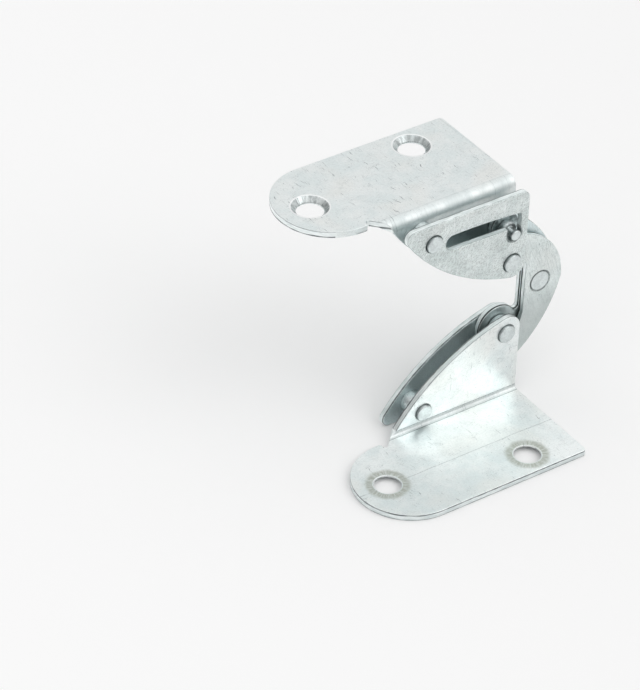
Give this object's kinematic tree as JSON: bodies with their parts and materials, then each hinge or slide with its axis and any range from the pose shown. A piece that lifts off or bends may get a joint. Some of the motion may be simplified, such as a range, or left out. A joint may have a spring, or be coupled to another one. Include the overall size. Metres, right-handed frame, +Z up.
{
  "type": "folding leaf hinge",
  "caption": "Zinc-plated steel folding leaf hinge, shown folded: bent screw leaves with slotted cheek plates, joined by crossed links that turn and slide.",
  "frame": {"origin": "on the inner face of the lower leaf, where the panel lies, midway between its screw holes", "axes": "+Z up through the folded stack, from the lower leaf to the upper one; +X along the leaf towards the joint and the links; the lower leaf's flange is on the -Y side of the links and the upper leaf's on the +Y side"},
  "size_m": [0.0616, 0.0576, 0.0534],
  "materials": {
    "zinc_leaf": "bright zinc plate, fine rolling marks",
    "zinc_cheek": "zinc plate, slightly grained",
    "zinc_link": "zinc plate",
    "zinc_rivet": "zinc plate, smooth rivet ends"
  },
  "bodies": {
    "lower_half": {"lower_leaf": "zinc_leaf", "lower_cheek_plate": "zinc_cheek", "lower_pivot_rivet": "zinc_rivet", "lower_pivot_spacer": "zinc_rivet", "lower_end_rivet": "zinc_rivet", "lower_end_spacer": "zinc_rivet"},
    "far_link": {"far_link": "zinc_link", "far_slide_pin": "zinc_rivet", "far_slide_sleeve": "zinc_rivet", "elbow_rivet": "zinc_rivet"},
    "near_link": {"near_link": "zinc_link", "near_slide_pin": "zinc_rivet", "near_slide_sleeve": "zinc_rivet"},
    "upper_half": {"upper_leaf": "zinc_leaf", "upper_cheek_plate": "zinc_cheek", "upper_pivot_rivet": "zinc_rivet", "upper_pivot_spacer": "zinc_rivet", "upper_end_rivet": "zinc_rivet", "upper_end_spacer": "zinc_rivet"}
  },
  "joints": [
    {"name": "lower_fold", "type": "hinge", "parent": "lower_half", "child": "far_link", "pos_m": [0.0236, 0.01961, 0.0159], "axis": [0, 1, 0], "range_deg": [0, 112.85]},
    {"name": "link_crossing", "type": "hinge", "parent": "far_link", "child": "near_link", "pos_m": [0.03305, 0.01961, 0.0252], "axis": [0, 1, 0], "range_deg": [-45.7, 0]},
    {"name": "upper_fold", "type": "hinge", "parent": "near_link", "child": "upper_half", "pos_m": [0.0236, 0.01961, 0.0345], "axis": [0, 1, 0], "range_deg": [0, 112.85]}
  ],
  "couplings": [
    {"joint": "link_crossing", "follows": "lower_fold", "ratio": -0.40496},
    {"joint": "upper_fold", "follows": "lower_fold", "ratio": 1}
  ]
}
